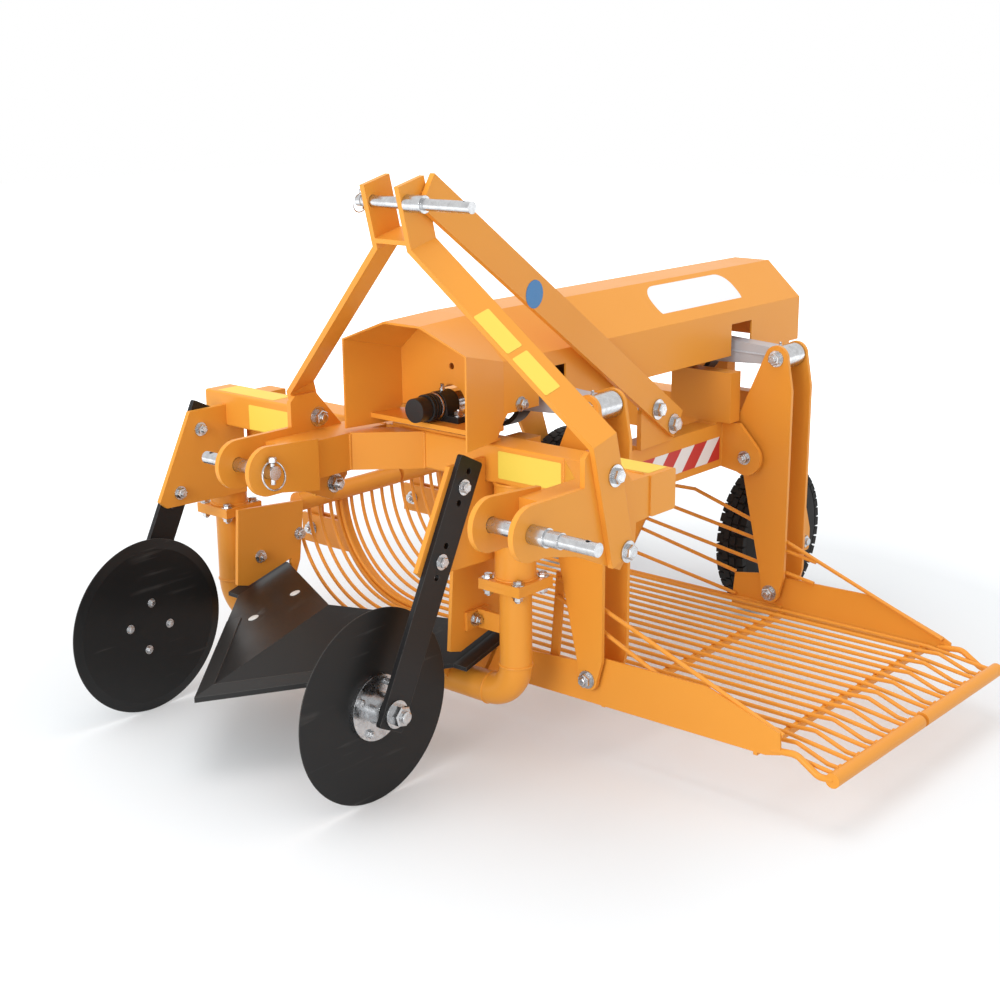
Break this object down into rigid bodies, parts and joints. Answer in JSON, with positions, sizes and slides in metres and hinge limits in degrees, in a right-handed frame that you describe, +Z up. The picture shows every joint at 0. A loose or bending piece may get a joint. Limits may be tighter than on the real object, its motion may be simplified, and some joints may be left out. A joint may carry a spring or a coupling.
{
  "type": "potato harvester",
  "caption": "Tractor-mounted potato digger with a pointed share, coulter discs, shaken rod grates, side delivery and gauge wheels behind.",
  "frame": {"origin": "midway between the two lower hitch pins, on their axis", "axes": "+X to the machine's left, where the crop is delivered; +Y to the rear, away from the tractor; +Z up"},
  "size_m": [1.4595, 1.6885, 1.0898],
  "materials": {
    "orange_paint": "gloss paint",
    "black_paint": "satin black",
    "zinc_plate": "zinc plated",
    "grey_paint": "grey paint",
    "black_plastic": "matte black",
    "tyre_rubber": "black rubber",
    "blue_rim": "blue paint"
  },
  "bodies": {
    "frame": {"cross_beam": "orange_paint", "hitch_brackets": "orange_paint", "lower_pins": "zinc_plate", "mast_legs": "orange_paint", "top_pin": "zinc_plate", "mast_brace": "orange_paint", "rear_frame": "orange_paint", "pivot_ears": "orange_paint", "link_ears": "orange_paint", "hood_supports": "orange_paint", "hood": "orange_paint", "shaft_bearings": "black_paint", "share": "black_paint", "share_cheeks": "orange_paint", "share_brackets": "orange_paint", "digger_legs": "orange_paint", "u_pipe": "orange_paint", "disc_brackets": "orange_paint", "disc_arms": "black_paint", "wheel_arms": "orange_paint"},
    "input_shaft": {"pto_shaft": "zinc_plate", "shaft_tubes": "black_paint", "shaft_cap": "black_plastic"},
    "rocker_front": {"rocker_front": "orange_paint"},
    "rocker_rear": {"rocker_rear": "orange_paint"},
    "pitman_front": {"pitman_front": "grey_paint", "eccentric_strap_front": "black_paint"},
    "pitman_rear": {"pitman_rear": "grey_paint", "eccentric_strap_rear": "black_paint"},
    "hanger_front": {"hanger_front": "orange_paint"},
    "hanger_rear": {"hanger_rear": "orange_paint"},
    "grate_front": {"grate_frame_front": "orange_paint", "grate_rods_front": "orange_paint", "fence_front": "orange_paint"},
    "grate_rear": {"grate_frame_rear": "orange_paint", "grate_rods_rear": "orange_paint", "fence_rear": "orange_paint"},
    "disc_left": {"disc_left": "black_paint", "disc_hub_left": "zinc_plate"},
    "disc_right": {"disc_right": "black_paint", "disc_hub_right": "zinc_plate"},
    "wheel_left": {"wheel_rim_left": "blue_rim", "tyre_left": "tyre_rubber"},
    "wheel_right": {"wheel_rim_right": "blue_rim", "tyre_right": "tyre_rubber"}
  },
  "joints": [
    {"name": "disc_left_spin", "type": "hinge", "parent": "frame", "child": "disc_left", "pos_m": [-0.058, 0.049, -0.4005], "axis": [1, 0, 0], "continuous": true},
    {"name": "disc_right_spin", "type": "hinge", "parent": "frame", "child": "disc_right", "pos_m": [-0.694, 0.049, -0.4005], "axis": [1, 0, 0], "continuous": true},
    {"name": "wheel_left_spin", "type": "hinge", "parent": "frame", "child": "wheel_left", "pos_m": [-0.08, 1.385, -0.403], "axis": [1, 0, 0], "continuous": true},
    {"name": "wheel_right_spin", "type": "hinge", "parent": "frame", "child": "wheel_right", "pos_m": [-0.672, 1.385, -0.403], "axis": [1, 0, 0], "continuous": true},
    {"name": "input_shaft_spin", "type": "hinge", "parent": "frame", "child": "input_shaft", "pos_m": [-0.126, 0.31, 0.084], "axis": [0, 1, 0], "continuous": true},
    {"name": "rocker_front_swing", "type": "hinge", "parent": "frame", "child": "rocker_front", "pos_m": [0.055, 0.473, -0.131], "axis": [0, 1, 0], "range_deg": [-3, 3]},
    {"name": "pitman_front_pivot", "type": "hinge", "parent": "rocker_front", "child": "pitman_front", "pos_m": [0.11, 0.473, 0.084], "axis": [0, 1, 0], "range_deg": [-3.2, 3.2]},
    {"name": "grate_front_pivot", "type": "hinge", "parent": "rocker_front", "child": "grate_front", "pos_m": [0.115, 0.473, -0.425], "axis": [0, 1, 0], "range_deg": [-3.2, 3.2]},
    {"name": "hanger_front_swing", "type": "hinge", "parent": "frame", "child": "hanger_front", "pos_m": [-0.795, 0.6, -0.118], "axis": [0, 1, 0], "range_deg": [-4.2, 4.2]},
    {"name": "rocker_rear_swing", "type": "hinge", "parent": "frame", "child": "rocker_rear", "pos_m": [0.055, 1.112, -0.131], "axis": [0, 1, 0], "range_deg": [-3, 3]},
    {"name": "pitman_rear_pivot", "type": "hinge", "parent": "rocker_rear", "child": "pitman_rear", "pos_m": [0.11, 1.112, 0.084], "axis": [0, 1, 0], "range_deg": [-3.2, 3.2]},
    {"name": "grate_rear_pivot", "type": "hinge", "parent": "rocker_rear", "child": "grate_rear", "pos_m": [0.115, 1.112, -0.425], "axis": [0, 1, 0], "range_deg": [-3.2, 3.2]},
    {"name": "hanger_rear_swing", "type": "hinge", "parent": "frame", "child": "hanger_rear", "pos_m": [-0.795, 0.931, -0.118], "axis": [0, 1, 0], "range_deg": [-4.2, 4.2]}
  ],
  "couplings": [
    {"joint": "pitman_front_pivot", "follows": "rocker_front_swing", "ratio": -1},
    {"joint": "grate_front_pivot", "follows": "rocker_front_swing", "ratio": -0.93407},
    {"joint": "hanger_front_swing", "follows": "rocker_front_swing", "ratio": 1.3103},
    {"joint": "rocker_rear_swing", "follows": "rocker_front_swing", "ratio": -1},
    {"joint": "pitman_rear_pivot", "follows": "rocker_front_swing", "ratio": 1},
    {"joint": "grate_rear_pivot", "follows": "rocker_front_swing", "ratio": 0.93407},
    {"joint": "hanger_rear_swing", "follows": "rocker_front_swing", "ratio": -1.3103}
  ]
}
